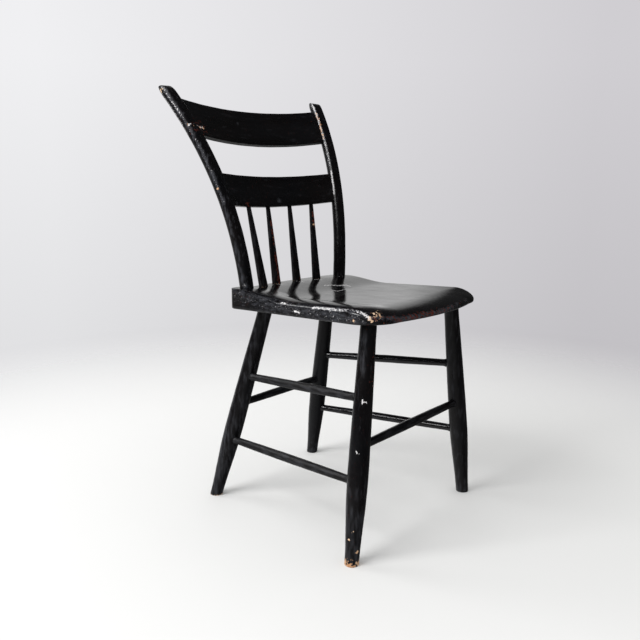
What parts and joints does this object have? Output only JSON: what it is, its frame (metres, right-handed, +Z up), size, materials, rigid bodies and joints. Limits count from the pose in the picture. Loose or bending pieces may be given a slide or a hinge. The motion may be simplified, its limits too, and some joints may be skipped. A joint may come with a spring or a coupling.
{
  "type": "plank seat chair",
  "caption": "Side chair with a solid plank seat, splayed turned legs joined by round stretchers, and a bent back of posts, bowed rails and tapered spindles, in worn black paint.",
  "frame": {"origin": "on the floor, under the middle of the chair's overall box", "axes": "+Z up, the chair faces -Y, +X to the sitter's left; the chair is the same on both sides of x = 0"},
  "size_m": [0.4556, 0.5042, 0.8321],
  "materials": {
    "seat_paint": "old black paint, worn smooth and glossy on the seat",
    "frame_paint": "old black paint, satin, chipped to bare wood at the feet",
    "back_paint": "old black paint, satin, rubbed along the arrises of the posts",
    "peg_paint": "painted over, dusty"
  },
  "bodies": {
    "root": {"seat": "seat_paint", "leg_front_right": "frame_paint", "leg_front_left": "frame_paint", "leg_rear_right": "frame_paint", "leg_rear_left": "frame_paint", "side_stretcher_upper_right": "frame_paint", "side_stretcher_upper_left": "frame_paint", "side_stretcher_lower_right": "frame_paint", "side_stretcher_lower_left": "frame_paint", "front_stretcher": "frame_paint", "rear_stretcher": "frame_paint", "back_post_right": "back_paint", "back_post_left": "back_paint", "crest_rail": "back_paint", "middle_rail": "back_paint", "spindle_outer_right": "back_paint", "spindle_inner_right": "back_paint", "spindle_inner_left": "back_paint", "spindle_outer_left": "back_paint", "crest_rail_peg_right": "peg_paint", "crest_rail_peg_left": "peg_paint", "middle_rail_peg_right": "peg_paint", "middle_rail_peg_left": "peg_paint"}
  },
  "joints": []
}
